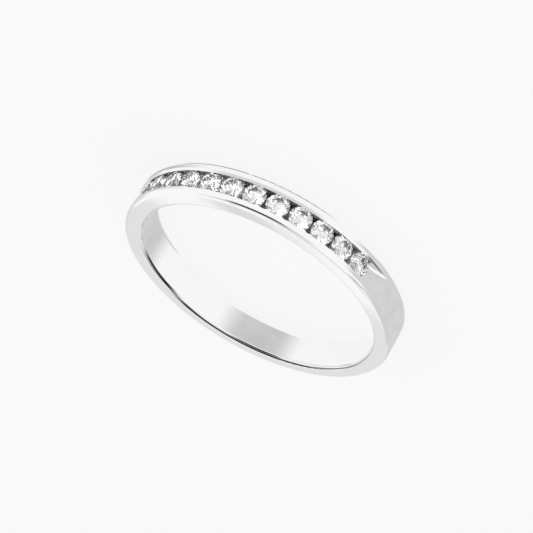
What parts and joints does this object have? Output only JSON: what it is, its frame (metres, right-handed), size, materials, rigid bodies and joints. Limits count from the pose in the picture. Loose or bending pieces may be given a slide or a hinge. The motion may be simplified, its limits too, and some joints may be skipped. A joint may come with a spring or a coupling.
{
  "type": "diamond band ring",
  "caption": "Slim polished finger ring, thicker on one side, with a row of round brilliant stones sunk in a channel between two rails over its top.",
  "frame": {"origin": "centre of the finger hole, halfway across the band's width", "axes": "+Z along the finger hole, towards the side face that shows in the picture; +Y towards the middle of the row of stones; the band lies on its -Z side face"},
  "size_m": [0.019, 0.019, 0.0024],
  "materials": {
    "white_gold": "mirror polish",
    "diamond": "cut and polished facets"
  },
  "bodies": {
    "root": {"band": "white_gold", "stone_01": "diamond", "stone_02": "diamond", "stone_03": "diamond", "stone_04": "diamond", "stone_05": "diamond", "stone_06": "diamond", "stone_07": "diamond", "stone_08": "diamond", "stone_09": "diamond", "stone_10": "diamond", "stone_11": "diamond", "stone_12": "diamond"}
  },
  "joints": []
}
